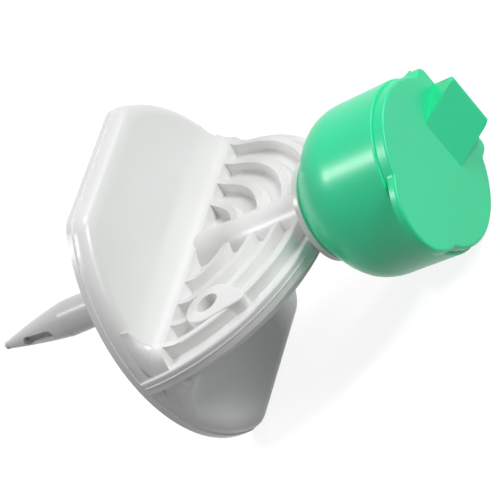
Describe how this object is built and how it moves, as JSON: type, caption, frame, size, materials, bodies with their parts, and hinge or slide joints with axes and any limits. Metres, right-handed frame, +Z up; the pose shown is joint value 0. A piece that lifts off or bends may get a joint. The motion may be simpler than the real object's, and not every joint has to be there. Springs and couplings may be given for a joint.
{
  "type": "dispensing spike",
  "caption": "Vented spike for drawing fluid from vials: shielded hollow spike, ribbed disc filter housing and a locking socket under a flip-lid cup.",
  "frame": {"origin": "middle of the footprint box on the surface the part lies on", "axes": "+X from the spike's tip towards the cap, along the surface; +Z up; the ribbed face of the housing looks up and the lid's hinge is on the +Y side"},
  "size_m": [0.0652, 0.0402, 0.0343],
  "materials": {
    "white_plastic": "satin",
    "white_cover_plastic": "satin",
    "membrane": "matte",
    "green_plastic": "satin",
    "green_lid_plastic": "satin"
  },
  "bodies": {
    "spike": {"spike_body": "white_plastic", "filter_cover": "white_cover_plastic", "air_filter": "membrane", "cap_cup": "green_plastic"},
    "lid": {"cap_lid": "green_lid_plastic"}
  },
  "joints": [
    {"name": "lid_hinge", "type": "hinge", "parent": "spike", "child": "lid", "pos_m": [0.0282, 0.0097, 0.01009], "axis": [0.2017, 0, 0.9794], "range_deg": [0, 150]}
  ]
}
